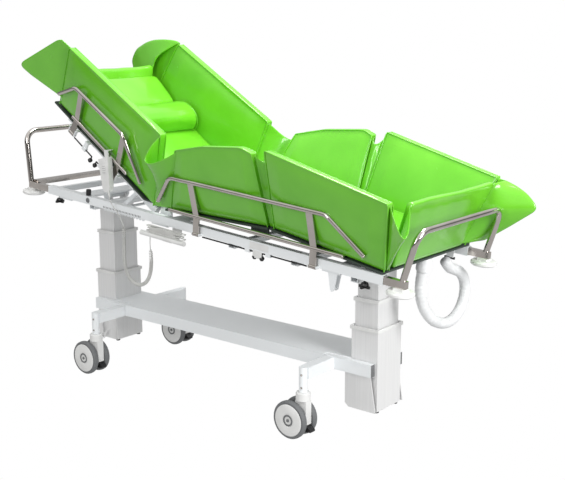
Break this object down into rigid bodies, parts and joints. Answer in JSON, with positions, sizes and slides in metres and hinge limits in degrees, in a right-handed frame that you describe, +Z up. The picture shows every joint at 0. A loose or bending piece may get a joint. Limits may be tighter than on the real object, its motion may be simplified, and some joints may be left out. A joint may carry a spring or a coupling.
{
  "type": "stretcher trolley",
  "caption": "Height-adjustable shower stretcher trolley with a soft green tub, raised backrest and knee, fold-down side rails, end handles and braked castors.",
  "frame": {"origin": "on the floor, under the middle of the whole trolley's box", "axes": "+X along the trolley towards the foot end, +Y towards the far side, +Z up"},
  "size_m": [2.1866, 0.7948, 1.4398],
  "materials": {
    "white_paint": "satin powder coat",
    "column_alu": "satin anodised",
    "stainless": "polished stainless tube",
    "white_plastic": "satin moulded",
    "black_plastic": "satin moulded",
    "tub_vinyl": "glossy coated vinyl",
    "board": "laminate board",
    "cable": "matte pvc",
    "hose": "satin pvc",
    "tyre_grey": "matte rubber"
  },
  "bodies": {
    "base": {"base_tubes": "white_paint", "base_arms": "white_paint", "base_cover": "white_paint", "head_column_outer": "column_alu", "foot_column_outer": "column_alu", "side_plates": "column_alu"},
    "caster_head_near": {"caster_head_near_fork": "white_plastic"},
    "wheels_head_near": {"caster_head_near_wheels": "tyre_grey"},
    "pedal_head_near": {"caster_head_near_pedal": "black_plastic"},
    "caster_head_far": {"caster_head_far_fork": "white_plastic"},
    "wheels_head_far": {"caster_head_far_wheels": "tyre_grey"},
    "pedal_head_far": {"caster_head_far_pedal": "black_plastic"},
    "caster_foot_near": {"caster_foot_near_fork": "white_plastic"},
    "wheels_foot_near": {"caster_foot_near_wheels": "tyre_grey"},
    "pedal_foot_near": {"caster_foot_near_pedal": "black_plastic"},
    "caster_foot_far": {"caster_foot_far_fork": "white_plastic"},
    "wheels_foot_far": {"caster_foot_far_wheels": "tyre_grey"},
    "pedal_foot_far": {"caster_foot_far_pedal": "black_plastic"},
    "head_mid": {"head_column_mid": "column_alu"},
    "head_top": {"head_column_inner": "column_alu"},
    "frame": {"side_tubes": "white_paint", "frame_crossbars": "white_paint", "cord_holder": "white_plastic", "cord_hank": "cable", "handset_cord": "cable"},
    "foot_top": {"foot_column_inner": "column_alu"},
    "foot_mid": {"foot_column_mid": "column_alu"},
    "head_end": {"head_handle": "stainless", "head_bumpers": "white_plastic"},
    "foot_end": {"foot_handle": "stainless", "foot_bumpers": "white_plastic"},
    "backrest": {"back_board": "board", "backrest_frame": "white_paint", "tub_back": "tub_vinyl", "pillow": "tub_vinyl"},
    "stay": {"backrest_stay": "white_paint"},
    "seat": {"seat_board": "board", "tub_seat": "tub_vinyl"},
    "leg": {"leg_board": "board", "tub_leg": "tub_vinyl", "drain_fitting": "hose", "drain_hose": "hose"},
    "rail_seat_near": {"rail_seat_near": "stainless"},
    "rail_seat_far": {"rail_seat_far": "stainless"},
    "rail_back_near": {"rail_back_near": "stainless", "handset": "white_plastic"},
    "rail_back_far": {"rail_back_far": "stainless"},
    "keys": {"handset_keys": "white_plastic"},
    "latch_seat_near_a": {"latch_seat_near_a": "black_plastic"},
    "latch_seat_near_b": {"latch_seat_near_b": "black_plastic"},
    "latch_back_near_a": {"latch_back_near_a": "black_plastic"},
    "latch_back_near_b": {"latch_back_near_b": "black_plastic"},
    "latch_seat_far_a": {"latch_seat_far_a": "black_plastic"},
    "latch_seat_far_b": {"latch_seat_far_b": "black_plastic"},
    "latch_back_far_a": {"latch_back_far_a": "black_plastic"},
    "latch_back_far_b": {"latch_back_far_b": "black_plastic"},
    "clamp_knob_head_near": {"clamp_knob_head_near": "black_plastic"},
    "clamp_knob_head_far": {"clamp_knob_head_far": "black_plastic"},
    "clamp_knob_foot_near": {"clamp_knob_foot_near": "black_plastic"},
    "clamp_knob_foot_far": {"clamp_knob_foot_far": "black_plastic"}
  },
  "joints": [
    {"name": "swivel_head_near", "type": "hinge", "parent": "base", "child": "caster_head_near", "pos_m": [-0.673, -0.275, 0.16], "axis": [0, 0, 1], "continuous": true},
    {"name": "roll_head_near", "type": "hinge", "parent": "caster_head_near", "child": "wheels_head_near", "pos_m": [-0.71, -0.275, 0.075], "axis": [0, 1, 0], "continuous": true},
    {"name": "brake_head_near", "type": "hinge", "parent": "caster_head_near", "child": "pedal_head_near", "pos_m": [-0.679, -0.275, 0.052], "axis": [0, 1, 0], "range_deg": [0, 12]},
    {"name": "swivel_head_far", "type": "hinge", "parent": "base", "child": "caster_head_far", "pos_m": [-0.673, 0.275, 0.16], "axis": [0, 0, 1], "continuous": true},
    {"name": "roll_head_far", "type": "hinge", "parent": "caster_head_far", "child": "wheels_head_far", "pos_m": [-0.71, 0.275, 0.075], "axis": [0, 1, 0], "continuous": true},
    {"name": "brake_head_far", "type": "hinge", "parent": "caster_head_far", "child": "pedal_head_far", "pos_m": [-0.679, 0.275, 0.052], "axis": [0, 1, 0], "range_deg": [0, 12]},
    {"name": "swivel_foot_near", "type": "hinge", "parent": "base", "child": "caster_foot_near", "pos_m": [0.501, -0.275, 0.16], "axis": [0, 0, 1], "continuous": true},
    {"name": "roll_foot_near", "type": "hinge", "parent": "caster_foot_near", "child": "wheels_foot_near", "pos_m": [0.464, -0.275, 0.075], "axis": [0, 1, 0], "continuous": true},
    {"name": "brake_foot_near", "type": "hinge", "parent": "caster_foot_near", "child": "pedal_foot_near", "pos_m": [0.495, -0.275, 0.052], "axis": [0, 1, 0], "range_deg": [0, 12]},
    {"name": "swivel_foot_far", "type": "hinge", "parent": "base", "child": "caster_foot_far", "pos_m": [0.501, 0.275, 0.16], "axis": [0, 0, 1], "continuous": true},
    {"name": "roll_foot_far", "type": "hinge", "parent": "caster_foot_far", "child": "wheels_foot_far", "pos_m": [0.464, 0.275, 0.075], "axis": [0, 1, 0], "continuous": true},
    {"name": "brake_foot_far", "type": "hinge", "parent": "caster_foot_far", "child": "pedal_foot_far", "pos_m": [0.495, 0.275, 0.052], "axis": [0, 1, 0], "range_deg": [0, 12]},
    {"name": "lift", "type": "slide", "parent": "base", "child": "head_mid", "axis": [0, 0, 1], "range_m": [-0.08, 0.08]},
    {"name": "lift_head_top", "type": "slide", "parent": "head_mid", "child": "head_top", "axis": [0, 0, 1], "range_m": [-0.08, 0.08]},
    {"name": "tilt", "type": "hinge", "parent": "head_top", "child": "frame", "pos_m": [-0.81503, 0, 0.76169], "axis": [0, 1, 0], "range_deg": [-4.3, 1.7]},
    {"name": "foot_pivot", "type": "hinge", "parent": "frame", "child": "foot_top", "pos_m": [0.64296, 0, 0.65206], "axis": [0, 1, 0], "range_deg": [-1.7, 4.3]},
    {"name": "lift_foot_mid", "type": "slide", "parent": "foot_top", "child": "foot_mid", "axis": [0, 0, 1], "range_m": [-0.08, 0.08]},
    {"name": "head_bars_slide", "type": "slide", "parent": "frame", "child": "head_end", "axis": [-0.9972, 0, 0.075], "range_m": [-0.05, 0.12]},
    {"name": "foot_bars_slide", "type": "slide", "parent": "frame", "child": "foot_end", "axis": [0.9972, 0, -0.075], "range_m": [-0.015, 0.12]},
    {"name": "backrest_tilt", "type": "hinge", "parent": "frame", "child": "backrest", "pos_m": [-0.24131, 0, 0.79376], "axis": [0, 1, 0], "range_deg": [-30, 17], "deforming": ["handset_cord"]},
    {"name": "stay_swing", "type": "hinge", "parent": "backrest", "child": "stay", "pos_m": [-0.39865, 0, 0.86478], "axis": [0, 1, 0], "range_deg": [-37.5, 66.1]},
    {"name": "knee_raise", "type": "hinge", "parent": "frame", "child": "seat", "pos_m": [-0.19456, 0, 0.79327], "axis": [0, -1, 0], "range_deg": [-2.8, 6]},
    {"name": "knee_bend", "type": "hinge", "parent": "seat", "child": "leg", "pos_m": [0.36038, 0, 0.79365], "axis": [0, 1, 0], "range_deg": [-5.9, 12.6]},
    {"name": "rail_seat_near_fold", "type": "hinge", "parent": "frame", "child": "rail_seat_near", "pos_m": [0.28789, -0.318, 0.70985], "axis": [0.9972, 0, -0.075], "range_deg": [0, 150]},
    {"name": "rail_back_near_fold", "type": "hinge", "parent": "backrest", "child": "rail_back_near", "pos_m": [-0.60138, -0.318, 0.99702], "axis": [0.8261, 0, -0.5635], "range_deg": [0, 90]},
    {"name": "latch_seat_near_a_pull", "type": "slide", "parent": "frame", "child": "latch_seat_near_a", "axis": [0.9972, 0, -0.075], "range_m": [0, 0.007], "stiffness_N_per_m": 400, "springref_m": -0.01},
    {"name": "latch_seat_near_b_pull", "type": "slide", "parent": "frame", "child": "latch_seat_near_b", "axis": [-0.9972, 0, 0.075], "range_m": [0, 0.007], "stiffness_N_per_m": 400, "springref_m": -0.01},
    {"name": "latch_back_near_a_pull", "type": "slide", "parent": "backrest", "child": "latch_back_near_a", "axis": [-0.8261, 0, 0.5635], "range_m": [0, 0.006], "stiffness_N_per_m": 400, "springref_m": -0.01},
    {"name": "latch_back_near_b_pull", "type": "slide", "parent": "backrest", "child": "latch_back_near_b", "axis": [0.8261, 0, -0.5635], "range_m": [0, 0.006], "stiffness_N_per_m": 400, "springref_m": -0.01},
    {"name": "rail_seat_far_fold", "type": "hinge", "parent": "frame", "child": "rail_seat_far", "pos_m": [0.28789, 0.318, 0.70985], "axis": [-0.9972, 0, 0.075], "range_deg": [0, 150]},
    {"name": "rail_back_far_fold", "type": "hinge", "parent": "backrest", "child": "rail_back_far", "pos_m": [-0.60138, 0.318, 0.99702], "axis": [-0.8261, 0, 0.5635], "range_deg": [0, 120]},
    {"name": "latch_seat_far_a_pull", "type": "slide", "parent": "frame", "child": "latch_seat_far_a", "axis": [0.9972, 0, -0.075], "range_m": [0, 0.007], "stiffness_N_per_m": 400, "springref_m": -0.01},
    {"name": "latch_seat_far_b_pull", "type": "slide", "parent": "frame", "child": "latch_seat_far_b", "axis": [-0.9972, 0, 0.075], "range_m": [0, 0.007], "stiffness_N_per_m": 400, "springref_m": -0.01},
    {"name": "latch_back_far_a_pull", "type": "slide", "parent": "backrest", "child": "latch_back_far_a", "axis": [-0.8261, 0, 0.5635], "range_m": [0, 0.006], "stiffness_N_per_m": 400, "springref_m": -0.01},
    {"name": "latch_back_far_b_pull", "type": "slide", "parent": "backrest", "child": "latch_back_far_b", "axis": [0.8261, 0, -0.5635], "range_m": [0, 0.006], "stiffness_N_per_m": 400, "springref_m": -0.01},
    {"name": "clamp_knob_head_near_turn", "type": "hinge", "parent": "frame", "child": "clamp_knob_head_near", "pos_m": [-0.86007, -0.291, 0.78012], "axis": [0.075, 0, 0.9972], "continuous": true},
    {"name": "clamp_knob_head_far_turn", "type": "hinge", "parent": "frame", "child": "clamp_knob_head_far", "pos_m": [-0.86007, 0.291, 0.78012], "axis": [0.075, 0, 0.9972], "continuous": true},
    {"name": "clamp_knob_foot_near_turn", "type": "hinge", "parent": "frame", "child": "clamp_knob_foot_near", "pos_m": [0.78529, -0.291, 0.6564], "axis": [0.075, 0, 0.9972], "continuous": true},
    {"name": "clamp_knob_foot_far_turn", "type": "hinge", "parent": "frame", "child": "clamp_knob_foot_far", "pos_m": [0.78529, 0.291, 0.6564], "axis": [0.075, 0, 0.9972], "continuous": true},
    {"name": "handset_key_press", "type": "slide", "parent": "rail_back_near", "child": "keys", "axis": [0, 1, 0], "range_m": [0, 0.001], "stiffness_N_per_m": 600, "springref_m": -0.001}
  ],
  "couplings": [
    {"joint": "lift_head_top", "follows": "lift", "ratio": 1},
    {"joint": "lift_foot_mid", "follows": "lift", "ratio": -1},
    {"joint": "foot_pivot", "follows": "tilt", "ratio": -1},
    {"joint": "stay_swing", "follows": "backrest_tilt", "ratio": -2.2},
    {"joint": "knee_bend", "follows": "knee_raise", "ratio": 2.084}
  ]
}
